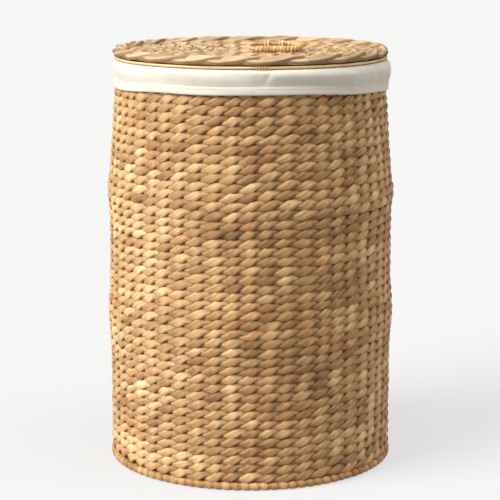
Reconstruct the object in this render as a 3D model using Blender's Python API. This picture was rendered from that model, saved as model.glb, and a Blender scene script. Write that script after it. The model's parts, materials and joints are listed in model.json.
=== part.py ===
"""Round woven laundry basket: a welded wire cage woven over with cane, a lift-out cotton liner
folded over the rim, and a lift-off woven lid with a hinged wrapped handle.

Metres, +Z up. The origin is the centre of the foot on the floor, and the front is -Y.
"""

import math

import bmesh
import bpy
from mathutils import Matrix, Vector

# Overall sizes, and the wall
WALL_RADIUS = 0.200  # outside of the woven wall, away from its hoops
RIM_TOP = 0.5672
WALL_THICKNESS = 0.015
STAKES = 50  # uprights in the wall
FOOT_OVERHANG = 0.002  # how far the wrapped foot border stands out beyond the wall
FOOT_HEIGHT = 0.014
RIM_HEIGHT = 0.0102
NECK_DEPTH = 0.0097  # how far the wall draws in towards the rim
NECK_LENGTH = 0.1325  # over this height, down from the cuff's hem

# Hoops that push the wall out a little: height, bulge, and how far the bulge spreads
HOOPS = ((0.212, 0.0031, 0.036), (0.381, 0.0028, 0.017))
CAGE_WIRE = 0.003
CLEARANCE = 0.0003  # between neighbouring pieces that touch on the real basket
SLIDING = 0.0005  # between pieces that slide or turn past each other

# Base
BASE_SPOKES = 20
BASE_WEAVE_HEIGHT = 0.0075
HUB_RADIUS = 0.012
FRAME_RIM_WIDTH = 0.0035

# Liner
CUFF_HEIGHT = 0.0347  # from the rim down to the hem, which lies where the neck ends
CLOTH = 0.002
CUFF_PUFF = 0.0038  # how far the fold stands out beyond the cuff's hem
HEM_HEIGHT = 0.011

# Lid
LID_OVERHANG = 0.0012  # how far the lid's edge stands out beyond the woven rim
LID_HOOP = 0.0035  # thickness of the edge hoop and the spokes
LID_SPOKES = 24
LID_SEGMENTS = 48
COURSE_PITCH = 0.013
COURSE_HEIGHT = 0.0062
COURSE_GAP = 0.0008
LEAST_CENTRE = 0.015  # the courses stop before the middle gets smaller than this
ROPE_WIDTH = 0.0136
ROPE_HEIGHT = 0.0122
ROPE_INSET = 0.0018  # from the hoop's outside to the rope's

# Handle, a long loop that lies on the lid to the right of its centre
HANDLE_X = 0.033  # the loop lies to the right of the middle and in front of it
HANDLE_Y = -0.033
HANDLE_LENGTH = 0.081
HANDLE_DEPTH = 0.038
HANDLE_CORE = 0.0030  # radius of the bent cane
HANDLE_WRAP = 0.0047  # radius outside the wrapping
HANDLE_RISE = 0.0052  # how much higher the tied back bar lies than the front bar
TIE_SPACING = 0.020
TIE_WIDTH = 0.007
TIE_THICKNESS = 0.0018
WRAP_END = 0.0155  # the wrapping stops this far each side of the back bar's middle
TUBE_SIDES = 8

CANE = (0.62, 0.41, 0.215)
DARK_CANE = (0.45, 0.27, 0.13)
COTTON = (0.78, 0.74, 0.66)
WIRE = (0.16, 0.12, 0.09)


FOOT_RADIUS = WALL_RADIUS + FOOT_OVERHANG
RIM_RADIUS = WALL_RADIUS - NECK_DEPTH
LID_RADIUS = RIM_RADIUS + LID_OVERHANG
CUFF_HEM = RIM_TOP - CUFF_HEIGHT


def wall_radius(z):
    """Outside of the woven wall at height z."""
    neck = min(max((z - CUFF_HEM) / NECK_LENGTH + 1.0, 0.0), 1.0)
    radius = WALL_RADIUS - NECK_DEPTH * neck
    for height, bulge, spread in HOOPS:
        radius += bulge * math.exp(-(((z - height) / spread) ** 2))
    return radius


FLOOR_OF_CAGE = FOOT_HEIGHT + CLEARANCE
WALL_TOP = RIM_TOP - RIM_HEIGHT - CLEARANCE
HOOP_HEIGHTS = (
    FLOOR_OF_CAGE + CAGE_WIRE / 2,
    HOOPS[0][0],
    HOOPS[1][0],
    WALL_TOP - CAGE_WIRE,
)
HOOP_RADII = tuple(wall_radius(z) - WALL_THICKNESS / 2 for z in HOOP_HEIGHTS)


def cage_radius(z):
    """Middle of the wires at height z, straight from hoop to hoop."""
    last = len(HOOP_HEIGHTS) - 2
    bay = next((i for i in range(last) if z < HOOP_HEIGHTS[i + 1]), last)
    low, high = HOOP_HEIGHTS[bay], HOOP_HEIGHTS[bay + 1]
    share = (z - low) / (high - low)
    return HOOP_RADII[bay] + (HOOP_RADII[bay + 1] - HOOP_RADII[bay]) * share


SPOKES_TOP = FLOOR_OF_CAGE + CAGE_WIRE
BASE_TOP = SPOKES_TOP + CLEARANCE + BASE_WEAVE_HEIGHT
BASE_RADIUS = HOOP_RADII[0] - WALL_THICKNESS / 2 - SLIDING
LINER_RADIUS = RIM_RADIUS - WALL_THICKNESS - SLIDING  # outside of the hanging cloth
LINER_FLOOR = BASE_TOP + CLEARANCE
CUFF_TOP = RIM_TOP + SLIDING + CLOTH
LID_BOTTOM = CUFF_TOP + CLEARANCE
COURSE_BOTTOM = LID_BOTTOM + LID_HOOP + CLEARANCE
LID_TOP = COURSE_BOTTOM + COURSE_HEIGHT
ROPE_OUTSIDE = LID_RADIUS - ROPE_INSET
COURSES_OUTSIDE = ROPE_OUTSIDE - ROPE_WIDTH - COURSE_GAP
LID_COURSES = int((COURSES_OUTSIDE - LEAST_CENTRE) / COURSE_PITCH)

LOOP_RADIUS = HANDLE_DEPTH / 2 - HANDLE_WRAP  # centre line of the handle's round ends
LOOP_HALF = HANDLE_LENGTH / 2 - LOOP_RADIUS - HANDLE_WRAP  # half its straight bars
FRONT_BAR_Z = LID_TOP + CLEARANCE + HANDLE_WRAP
HINGE = Vector((HANDLE_X, HANDLE_Y + LOOP_RADIUS, FRONT_BAR_Z + HANDLE_RISE))


def clear_scene():
    for item in list(bpy.data.objects):
        bpy.data.objects.remove(item, do_unlink=True)


def material(name, colour, roughness, metallic=0.0):
    made = bpy.data.materials.new(name)
    made.use_nodes = True
    shader = made.node_tree.nodes["Principled BSDF"]
    shader.inputs["Base Color"].default_value = (*colour, 1.0)
    shader.inputs["Roughness"].default_value = roughness
    shader.inputs["Metallic"].default_value = metallic
    return made


def add_part(name, mesh, slot, parent=None):
    part = bpy.data.objects.new(name, mesh)
    colour, roughness, metallic = slot
    mesh.materials.append(material(name, colour, roughness, metallic))
    part.parent = parent
    bpy.context.collection.objects.link(part)
    return part


def finished(name, bm):
    """A mesh from bm with its faces turned outwards and its round sides smooth."""
    bmesh.ops.recalc_face_normals(bm, faces=bm.faces)
    mesh = bpy.data.meshes.new(name)
    bm.to_mesh(mesh)
    bm.free()
    mesh.shade_smooth()
    mesh.set_sharp_from_angle(angle=math.radians(40))
    return mesh


def turned(name, profile, slot, segments=STAKES):
    """A closed outline of (radius, height) points turned about Z. A radius of 0 lies on the axis."""
    bm = bmesh.new()
    columns = []
    for r, z in profile:
        count = segments if r else 1
        turns = [math.tau * k / segments for k in range(count)]
        ring = [bm.verts.new((r * math.cos(a), r * math.sin(a), z)) for a in turns]
        columns.append(ring * (segments // count))
    for low, high in zip(columns, columns[1:] + columns[:1]):
        for k in range(segments):
            after = (k + 1) % segments
            corners = dict.fromkeys((low[k], low[after], high[after], high[k]))
            if len(corners) > 2:
                bm.faces.new(corners)
    add_part(name, finished(name, bm), slot)


def tube(name, path, normal, outer, slot, parent, inner=0.0):
    """A round bar along a closed path that lies flat across normal; where inner is given, an
    open sleeve.
    """
    bm = bmesh.new()
    count, sides, closed = len(path), TUBE_SIDES, not inner
    radii = [outer, inner] if inner else [outer]
    rings = []
    for i, point in enumerate(path):
        before = path[i - 1] if i or closed else point
        after = path[(i + 1) % count] if i < count - 1 or closed else point
        side = normal.cross((after - before).normalized())
        turns = [math.tau * (k + 0.5) / sides for k in range(sides)]
        spread = [side * math.cos(a) + normal * math.sin(a) for a in turns]
        rings.append([[bm.verts.new(point + d * r) for d in spread] for r in radii])
    for i in range(count if closed else count - 1):
        for near, far in zip(rings[i], rings[(i + 1) % count]):
            for k in range(sides):
                after = (k + 1) % sides
                bm.faces.new((near[k], near[after], far[after], far[k]))
    for near, far in () if closed else (rings[0], rings[-1]):
        for k in range(sides):
            after = (k + 1) % sides
            bm.faces.new((near[k], near[after], far[after], far[k]))
    add_part(name, finished(name, bm), slot, parent)


def solidified(name, bm, thickness, slot):
    """The faces of bm as a plate, thickened evenly to both sides."""
    part = add_part(name, finished(name, bm), slot)
    solid = part.modifiers.new("Thickness", "SOLIDIFY")
    solid.thickness = thickness
    solid.offset = 0.0


def wire_cage():
    """Uprights welded to four hoops. Each wire is a strip on the cage's surface, thickened."""
    bm = bmesh.new()
    half = CAGE_WIRE / 2
    rows = []
    for height in HOOP_HEIGHTS:
        for z in (height - half, height + half):
            r = cage_radius(z)
            turns = []
            for stake in range(STAKES):
                middle = math.tau * stake / STAKES
                turns += [middle - half / r, middle + half / r]
            rows.append([bm.verts.new((r * math.cos(a), r * math.sin(a), z)) for a in turns])
    for i, (low, high) in enumerate(zip(rows, rows[1:])):
        between_hoops = i % 2 == 1
        for k in range(0, len(low), 2 if between_hoops else 1):
            after = (k + 1) % len(low)
            bm.faces.new((low[k], low[after], high[after], high[k]))
    solidified("wire_cage", bm, CAGE_WIRE, (WIRE, 0.5, 0.6))


def spoked_frame(name, outer, spokes, width, z, slot):
    """A flat hub, spokes and edge hoop as one welded grille, its underside at height z."""
    bm = bmesh.new()
    inner = outer - FRAME_RIM_WIDTH
    level = z + width / 2
    half = width / 2
    sector = math.tau / spokes

    def corner(r, a):
        return bm.verts.new((r * math.cos(a), r * math.sin(a), level))

    hub, inside, outside = [], [], []
    for k in range(spokes):
        middle = k * sector
        hub += [corner(HUB_RADIUS, middle + s * half / HUB_RADIUS) for s in (-1, 1)]
        turns = (middle - half / inner, middle + half / inner, middle + sector / 2)
        inside += [corner(inner, a) for a in turns]
        outside += [corner(outer, a) for a in turns]
    bm.faces.new(hub)
    for k in range(spokes):
        bm.faces.new((hub[2 * k], hub[2 * k + 1], inside[3 * k + 1], inside[3 * k]))
    for k in range(len(inside)):
        after = (k + 1) % len(inside)
        bm.faces.new((inside[k], inside[after], outside[after], outside[k]))
    solidified(name, bm, width, slot)


def woven_wall():
    """Between each two hoops the strands lie outside and inside the wires."""
    gap = CAGE_WIRE / 2 + CLEARANCE
    steps = 8
    edges = (FLOOR_OF_CAGE, HOOP_HEIGHTS[1], HOOP_HEIGHTS[2], WALL_TOP)
    for bay, name in enumerate(("lower", "middle", "upper")):
        bottom = edges[bay] + (CLEARANCE if bay else 0.0)
        top = edges[bay + 1]
        heights = [bottom + (top - bottom) * k / steps for k in range(steps + 1)]
        outside = [(wall_radius(z), z) for z in heights]
        against = [(cage_radius(z) + gap, z) for z in (top, bottom)]
        turned("wall_weave_outer_" + name, outside + against, (CANE, 0.6, 0.0))
        if not bay:
            bottom = SPOKES_TOP + CLEARANCE
        outside = [(cage_radius(z) - gap, z) for z in (bottom, top)]
        inside = [(cage_radius(z) - WALL_THICKNESS / 2, z) for z in (top, bottom)]
        turned("wall_weave_inner_" + name, outside + inside, (CANE, 0.6, 0.0))


def borders():
    """The wrapped foot that the basket stands on, and the folded border along its rim."""
    edge = 0.0025
    inner = BASE_RADIUS
    foot = [
        (inner, 0.0),
        (FOOT_RADIUS - edge / 2, 0.0),
        (FOOT_RADIUS, edge),
        (FOOT_RADIUS, FOOT_HEIGHT - edge),
        (wall_radius(FOOT_HEIGHT), FOOT_HEIGHT),
        (inner, FOOT_HEIGHT),
    ]
    turned("foot_border", foot, (DARK_CANE, 0.6, 0.0))
    inner = RIM_RADIUS - WALL_THICKNESS
    bottom, round_off = RIM_TOP - RIM_HEIGHT, 0.0035
    rim = [
        (inner, bottom),
        (RIM_RADIUS, bottom),
        (RIM_RADIUS, RIM_TOP - round_off),
        (RIM_RADIUS - round_off, RIM_TOP),
        (inner + round_off, RIM_TOP),
        (inner, RIM_TOP - round_off),
    ]
    turned("rim_border", rim, (CANE, 0.6, 0.0))


def basket():
    wire_cage()
    woven_wall()
    borders()
    outer = HOOP_RADII[0] - CAGE_WIRE / 2 - SLIDING
    spoked_frame(
        "base_spokes", outer, BASE_SPOKES, CAGE_WIRE, FLOOR_OF_CAGE, (WIRE, 0.5, 0.6)
    )
    low = SPOKES_TOP + CLEARANCE
    disc = [(0.0, low), (BASE_RADIUS, low), (BASE_RADIUS, BASE_TOP), (0.0, BASE_TOP)]
    turned("base_weave", disc, (CANE, 0.6, 0.0))


def liner():
    cotton = (COTTON, 0.9, 0.0)
    top = LINER_FLOOR + CLOTH
    disc = [(0.0, LINER_FLOOR), (LINER_RADIUS, LINER_FLOOR), (LINER_RADIUS, top), (0.0, top)]
    turned("liner_base", disc, cotton)

    inside = LINER_RADIUS - CLOTH
    bottom, top = top + CLEARANCE, RIM_TOP - RIM_HEIGHT
    wall = [(inside, bottom), (LINER_RADIUS, bottom), (LINER_RADIUS, top), (inside, top)]
    turned("liner_wall", wall, cotton)

    bottom = top + CLEARANCE
    over = RIM_TOP + SLIDING  # underside of the cloth where it lies over the rim
    near = RIM_RADIUS + SLIDING  # inside of the cuff against the wall
    far = near + CLOTH
    shoulder = 0.0037  # how the fold rounds over the rim's edges
    hem = CUFF_HEM + HEM_HEIGHT + CLEARANCE
    fold = [
        (far, hem),
        (far + CUFF_PUFF * 0.55, (hem + over) / 2),
        (far + CUFF_PUFF, over - 2 * shoulder),
        (far + CUFF_PUFF * 0.6, over - shoulder / 4),
        (far - shoulder / 2, CUFF_TOP),
        (LINER_RADIUS + shoulder / 2, CUFF_TOP),
        (inside, over - shoulder / 2),
        (inside, bottom),
        (LINER_RADIUS, bottom),
        (LINER_RADIUS, over - shoulder),
        (LINER_RADIUS + shoulder, over),
        (near - shoulder, over),
        (near, over - shoulder),
        (near, hem),
    ]
    turned("liner_cuff", fold, cotton)

    top = hem - CLEARANCE
    turned("liner_hem", [(near, CUFF_HEM), (far, CUFF_HEM), (far, top), (near, top)], cotton)


def lid():
    cane = (CANE, 0.6, 0.0)
    spoked_frame("lid_frame", LID_RADIUS, LID_SPOKES, LID_HOOP, LID_BOTTOM, (CANE, 0.6, 0.0))

    inner, bevel = ROPE_OUTSIDE - ROPE_WIDTH, 0.003
    top = COURSE_BOTTOM + ROPE_HEIGHT
    rope = [
        (inner, COURSE_BOTTOM),
        (ROPE_OUTSIDE, COURSE_BOTTOM),
        (ROPE_OUTSIDE, top - bevel),
        (ROPE_OUTSIDE - bevel, top),
        (inner + bevel, top),
        (inner, top - bevel),
    ]
    turned("lid_edge_rope", rope, cane, LID_SEGMENTS)

    for k in range(LID_COURSES):
        outer = COURSES_OUTSIDE - k * COURSE_PITCH
        inner = outer - COURSE_PITCH + COURSE_GAP
        ring = [(inner, COURSE_BOTTOM), (outer, COURSE_BOTTOM), (outer, LID_TOP), (inner, LID_TOP)]
        turned(f"lid_course_{k + 1:02d}", ring, cane, LID_SEGMENTS)

    r = COURSES_OUTSIDE - LID_COURSES * COURSE_PITCH
    disc = [(0.0, COURSE_BOTTOM), (r, COURSE_BOTTOM), (r, LID_TOP), (0.0, LID_TOP)]
    turned("lid_centre", disc, cane, LID_SEGMENTS)


def loop_point(along):
    """A point of the handle's centre line, in its own flat plane with the back bar on y = 0.

    along runs from the back bar's middle to the right, round the front and back to the left.
    """
    arc = math.pi * LOOP_RADIUS
    if along < LOOP_HALF:
        return Vector((along, 0.0, 0.0))
    along -= LOOP_HALF
    if along < arc:
        a = along / LOOP_RADIUS
        x = LOOP_HALF + LOOP_RADIUS * math.sin(a)
        return Vector((x, -LOOP_RADIUS * (1 - math.cos(a)), 0.0))
    along -= arc
    if along < 2 * LOOP_HALF:
        return Vector((LOOP_HALF - along, -2 * LOOP_RADIUS, 0.0))
    along -= 2 * LOOP_HALF
    if along < arc:
        a = along / LOOP_RADIUS
        x = -LOOP_HALF - LOOP_RADIUS * math.sin(a)
        return Vector((x, -LOOP_RADIUS * (1 + math.cos(a)), 0.0))
    return Vector((along - arc - LOOP_HALF, 0.0, 0.0))


def handle():
    """The loop turns on its back bar, under two ties; its parent stands on that axis."""
    hinge = bpy.data.objects.new("handle_hinge", None)
    bpy.context.collection.objects.link(hinge)
    hinge.location = HINGE
    lean = math.asin(HANDLE_RISE / (2 * LOOP_RADIUS))
    slope = Matrix.Rotation(lean, 3, "X")

    length = 4 * LOOP_HALF + math.tau * LOOP_RADIUS
    points = 32
    path = [slope @ loop_point(length * k / points) for k in range(points)]
    across = slope @ Vector((0.0, 0.0, 1.0))
    tube("handle_core", path, across, HANDLE_CORE, (CANE, 0.5, 0.0), hinge)
    wrapped = length - 2 * WRAP_END
    steps = 28
    path = [slope @ loop_point(WRAP_END + wrapped * k / steps) for k in range(steps + 1)]
    bore = HANDLE_CORE + SLIDING
    tube("handle_wrap", path, across, HANDLE_WRAP, (DARK_CANE, 0.55, 0.0), hinge, bore)

    for name, side in (("left", -1), ("right", 1)):
        tie("handle_tie_" + name, HANDLE_X + side * TIE_SPACING / 2)


def tie(name, x):
    """A strap over the back bar whose two legs stand on the lid."""
    bm = bmesh.new()
    inner = HANDLE_CORE + SLIDING
    steps = 6
    outline = []
    for r in (inner, inner + TIE_THICKNESS):
        arch = [(r, LID_TOP + CLEARANCE)]
        for k in range(steps + 1):
            a = math.pi * k / steps
            arch.append((r * math.cos(a), HINGE.z + r * math.sin(a)))
        arch.append((-r, LID_TOP + CLEARANCE))
        outline.append(arch)
    inside, outside = outline
    sides = []
    for end in (-TIE_WIDTH / 2, TIE_WIDTH / 2):
        near = [bm.verts.new((x + end, HINGE.y + y, z)) for y, z in inside]
        far = [bm.verts.new((x + end, HINGE.y + y, z)) for y, z in outside]
        for k in range(len(near) - 1):
            bm.faces.new((near[k], near[k + 1], far[k + 1], far[k]))
        sides.append(near + far[::-1])
    left, right = sides
    for k in range(len(left)):
        after = (k + 1) % len(left)
        bm.faces.new((left[k], left[after], right[after], right[k]))
    add_part(name, finished(name, bm), (DARK_CANE, 0.55, 0.0))


clear_scene()
basket()
liner()
lid()
handle()
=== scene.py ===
"""Looks of the woven laundry basket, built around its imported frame. Metres, +Z up, front at -Y."""

import json
import math
from collections import namedtuple

import bmesh
import bpy
import numpy as np
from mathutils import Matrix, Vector


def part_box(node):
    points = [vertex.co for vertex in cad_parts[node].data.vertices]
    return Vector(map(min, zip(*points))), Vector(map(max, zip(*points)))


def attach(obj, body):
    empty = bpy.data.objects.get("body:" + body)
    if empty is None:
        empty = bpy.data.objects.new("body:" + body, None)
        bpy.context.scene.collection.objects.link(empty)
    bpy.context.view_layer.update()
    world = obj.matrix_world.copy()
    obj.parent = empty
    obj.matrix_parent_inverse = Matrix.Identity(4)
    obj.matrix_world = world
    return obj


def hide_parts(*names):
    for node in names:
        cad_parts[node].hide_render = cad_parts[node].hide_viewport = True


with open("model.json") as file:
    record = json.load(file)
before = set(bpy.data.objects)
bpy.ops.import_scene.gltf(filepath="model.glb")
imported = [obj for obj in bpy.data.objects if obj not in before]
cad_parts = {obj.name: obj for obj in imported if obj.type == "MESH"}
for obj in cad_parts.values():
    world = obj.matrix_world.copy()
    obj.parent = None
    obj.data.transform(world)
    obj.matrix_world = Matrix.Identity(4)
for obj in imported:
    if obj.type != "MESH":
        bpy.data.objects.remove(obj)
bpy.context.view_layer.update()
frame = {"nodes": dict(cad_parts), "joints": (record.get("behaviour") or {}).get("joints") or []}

TAU = math.tau
UP = np.array([[0.0, 0.0, 1.0]])

# Sizes read from the frame
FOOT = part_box("foot_border")
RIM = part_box("rim_border")
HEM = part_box("liner_hem")
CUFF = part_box("liner_cuff")
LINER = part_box("liner_wall")
LINER_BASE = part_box("liner_base")
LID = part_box("lid_frame")
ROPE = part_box("lid_edge_rope")
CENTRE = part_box("lid_centre")
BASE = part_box("base_weave")
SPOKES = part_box("base_spokes")
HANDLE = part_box("handle_wrap")
TIES = [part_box("handle_tie_left"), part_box("handle_tie_right")]
COURSES = sorted(name for name in frame["nodes"] if name.startswith("lid_course_"))

# The wall and its borders
STAKES = 50
WALL_ROWS = 44
WALL_RADIUS = 0.200
NECK_DEPTH = 0.0097
NECK_LENGTH = 0.1325
HOOP_BULGES = ((0.212, 0.0031, 0.036), (0.381, 0.0028, 0.017))  # height, bulge, spread
WIRE_RADIUS = 0.0015
BROWNING_AND_SHADE = 0.17  # how much darker in tone the stems are along one side of the basket: partly browner stems, partly painted shade of the key light's fall-off
DARKEST_SIDE = math.radians(12.0)  # where that side is, to the right of the front
FOOT_TOP = 0.0118  # of the foot's wrapping, which lies a little below its node's top
FOOT_WRAPS = 96
RIM_WRAPS = 90
RIM_HALF_WIDTH = 0.0069

# A strand is width wide where it shows and squeezed where the two strands of a course cross.
# It swings out of the weave on both sides, and across it from one crossing to the next.
Strand = namedtuple("Strand", "thickness width squeezed out_swing side_swing")
WALL_STRAND = Strand(0.0075, 0.0148, 0.0088, 0.0035, 0.0031)
LID_STRAND = Strand(0.0044, 0.0138, 0.0092, 0.0017, 0.0030)
HUB_STRAND = Strand(0.0042, 0.0112, 0.0084, 0.0016, 0.0024)
ROPE_STRAND = Strand(0.0072, 0.0136, 0.0105, 0.0026, 0.0034)
BASE_STRAND = Strand(0.0041, 0.0126, 0.0092, 0.0017, 0.0026)
STRAND_ROLL = 0.55  # how far a strand turns on itself at a crossing, in radians
STRAND_SWELL = 0.8  # how late it swells between two crossings
STRAND_BOX = 2.5  # how square its section is: 2 is an oval
SHOWING = 0.45  # how much further out than in a strand lies, so that its ends show too
LEAST_DEPTH = 0.75  # how little painted shade a strand gets where it passes out of sight
EDGE_SHADE = 0.82  # how much of the painted shade in the gaps lies along a strand's edges

# The lid, the base and the liner
COURSE_PITCH = 0.013
COURSE_GAP = 0.0008
LID_STITCH = 0.027  # how long a stitch is along a course
ROPE_STITCHES = 22
LID_SPOKES = 24
LID_SPOKE_RADIUS = 0.0014
LID_SPOKES_START = 0.010
BASE_PITCH = 0.0124
BASE_STITCH = 0.028
BASE_SPOKES = 20
BASE_HUB_RADIUS = 0.011
CLOTH = 0.0013
CUFF_INSIDE = 0.019  # how far the cuff reaches down inside the rim
HEM_STITCHES = 380

# The handle, a loop with round ends
JOINTS = {joint["name"]: joint for joint in frame["joints"]}
HINGE = Vector(JOINTS["handle_turn"]["pos_m"])
HANDLE_CANE = 0.0026
HANDLE_WRAP = 0.0047  # radius outside the winding
LOOP_RADIUS = 0.0143
LOOP_HALF = (HANDLE[1].x - HANDLE[0].x) / 2 - LOOP_RADIUS - HANDLE_WRAP
FRONT_BAR_Z = HANDLE[0].z + HANDLE_WRAP
LOOP_LENGTH = 4 * LOOP_HALF + TAU * LOOP_RADIUS
LOOP_LEAN = math.asin((HINGE.z - FRONT_BAR_Z) / (2 * LOOP_RADIUS))
WINDING_START = 0.0165  # from the middle of the back bar


def wall_radius(z):
    """Outside of the weave at height z, as the frame has it."""
    neck = np.clip((z - HEM[0].z) / NECK_LENGTH + 1.0, 0.0, 1.0)
    radius = WALL_RADIUS - NECK_DEPTH * neck
    for height, bulge, spread in HOOP_BULGES:
        radius = radius + bulge * np.exp(-(((z - height) / spread) ** 2))
    return radius


# Meshes -------------------------------------------------------------------------------------


def wander(rng, knots, at, columns=1):
    """Smooth random values in -1..1 along at, which runs 0..1 once round a closed path."""
    values = rng.uniform(-1.0, 1.0, (columns, knots))
    x = (np.asarray(at) % 1.0) * knots
    i = np.floor(x).astype(int) % knots
    f = x - np.floor(x)
    f = f * f * (3.0 - 2.0 * f)
    found = values[:, i] * (1.0 - f) + values[:, (i + 1) % knots] * f
    return found[0] if columns == 1 else found


def smooth_line(points, count):
    """count points on one smooth curve through the given ones."""
    p = np.array(points, float)
    p = np.vstack([2 * p[0] - p[1], p, 2 * p[-1] - p[-2]])
    at = np.linspace(0.0, len(points) - 1.0, count)
    i = np.minimum(at.astype(int), len(points) - 2)
    t = (at - i)[:, None]
    a, b, c, d = p[i], p[i + 1], p[i + 2], p[i + 3]
    return 0.5 * (2 * b + (c - a) * t + (2 * a - 5 * b + 4 * c - d) * t**2
                  + (3 * b - a - 3 * c + d) * t**3)


class Tubes:
    """Collects tubes into one mesh, with the values and coordinates that its material reads.

    The map along the strands is in metres. The other map lays every tube out flat in rows,
    side by side and without overlaps.
    """

    def __init__(self, rows=1):
        self.rows = rows  # of the flat map, for each tube
        self.points, self.faces, self.along, self.flat, self.values = [], [], [], [], []
        self.count = 0

    def add(self, rings, closed=True, tone=0.5, tint=0.5, depth=1.0, girth=0.03, wound=False):
        """rings is (along, around, 3). tone, tint and depth are one value each, or arrays. The
        fibres of a wound tube run round it, not along it."""
        n, m = rings.shape[:2]
        steps = np.linalg.norm(np.roll(rings, -1, axis=0) - rings, axis=2).mean(axis=1)
        u = np.concatenate([[0.0], np.cumsum(steps)])
        v = np.linspace(0.0, girth, m + 1)
        i = np.repeat(np.arange(n if closed else n - 1), m)
        j = np.tile(np.arange(m), len(i) // m)
        corners = ((0, 0), (0, 1), (1, 1), (1, 0))
        faces = np.stack([(i + a) % n * m + (j + b) % m for a, b in corners], 1)
        self.faces.append(faces + self.count)
        along = np.stack([np.stack([u[i + a], v[j + b]], 1) for a, b in corners], 1)
        self.along.append(along[..., ::-1] if wound else along)
        length = math.ceil(n / self.rows)
        row = i // length
        across = [((i - row * length + a) / length, row + 0.04 + 0.92 * (j + b) / m)
                  for a, b in corners]
        self.flat.append(np.stack([np.stack(pair, 1) for pair in across], 1))
        self.points.append(rings.reshape(-1, 3))
        spread = [np.broadcast_to(x[:, None] if np.ndim(x) == 1 else x, (n, m)).ravel()
                  for x in (tone, tint, depth)]
        self.values.append(np.stack(spread))
        first, last = self.count, self.count + (n - 1) * m
        self.count += n * m
        if not closed:
            self.cap(rings[0], np.arange(m)[::-1] + first)
            self.cap(rings[-1], np.arange(m) + last)

    def cap(self, ring, corners):
        """Closes a tube's end with a fan of triangles."""
        m = len(corners)
        self.points.append(ring.mean(axis=0)[None])
        self.values.append(self.values[-1][:, -1:])
        centre = self.count
        self.count += 1
        pairs = np.stack([corners, np.roll(corners, -1)], 1)
        self.faces.append(np.hstack([pairs, np.full((m, 1), centre)]))
        corner = np.tile([[0.0, 0.0], [0.001, 0.0], [0.0, 0.001]], (m, 1, 1))
        self.along.append(corner)
        self.flat.append(corner)

    def build(self, name, material):
        mesh = bpy.data.meshes.new(name)
        points = np.vstack(self.points)
        loops = np.concatenate([f.ravel() for f in self.faces]).astype(np.int32)
        sizes = np.concatenate([np.full(len(f), f.shape[1]) for f in self.faces])
        starts = np.concatenate([[0], np.cumsum(sizes)[:-1]]).astype(np.int32)
        mesh.vertices.add(len(points))
        mesh.vertices.foreach_set("co", points.astype(np.float32).ravel())
        mesh.loops.add(len(loops))
        mesh.loops.foreach_set("vertex_index", loops)
        mesh.polygons.add(len(sizes))
        mesh.polygons.foreach_set("loop_start", starts)
        mesh.update(calc_edges=True)
        mesh.shade_smooth()
        values = np.hstack(self.values)
        # depth is read by the straw material as how much painted shade a place gets.
        for key, column in zip(("tone", "tint", "depth"), values):
            layer = mesh.attributes.new(key, "FLOAT", "POINT")
            layer.data.foreach_set("value", column.astype(np.float32))
        self.lay_out(mesh)
        made = bpy.data.objects.new(name, mesh)
        bpy.context.collection.objects.link(made)
        mesh.materials.append(material)
        return made

    def lay_out(self, mesh):
        along = np.concatenate([part.reshape(-1, 2) for part in self.along])
        mesh.uv_layers.new(name="strand").data.foreach_set("uv", along.astype(np.float32).ravel())
        tubes = sum(part.shape[1] == 4 for part in self.flat)
        flat, tube = [], 0
        for part in self.flat:
            quads = part.shape[1] == 4
            rise = tube * self.rows if quads else 0
            flat.append((part + [0.0, rise]).reshape(-1, 2) if quads else part.reshape(-1, 2))
            tube += quads
        flat = np.concatenate(flat) / [1.0, max(tubes * self.rows, 1)]
        mesh.uv_layers.new(name="OFBake").data.foreach_set("uv", flat.astype(np.float32).ravel())


def strand_rings(rng, centres, long_axis, short_axis, width, thickness, knots,
                 around=12, ridge=0.05):
    """The rings of a flattened stem whose section is creased lengthwise."""
    n = len(centres)
    at = np.arange(n) / n
    turns = TAU * (np.arange(around) + 0.5) / around
    creases = wander(rng, knots, at, around).T * ridge + rng.uniform(-ridge, ridge, around) * 0.6
    cos, sin = np.cos(turns), np.sin(turns)
    reach = (np.abs(cos) ** STRAND_BOX + np.abs(sin) ** STRAND_BOX) ** (-1 / STRAND_BOX)
    x = cos * reach * (1.0 + creases) * np.broadcast_to(width, n)[:, None] / 2
    y = sin * reach * (1.0 + creases) * np.broadcast_to(thickness, n)[:, None] / 2
    return (centres[:, None] + long_axis[:, None] * x[..., None]
            + short_axis[:, None] * y[..., None])


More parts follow.
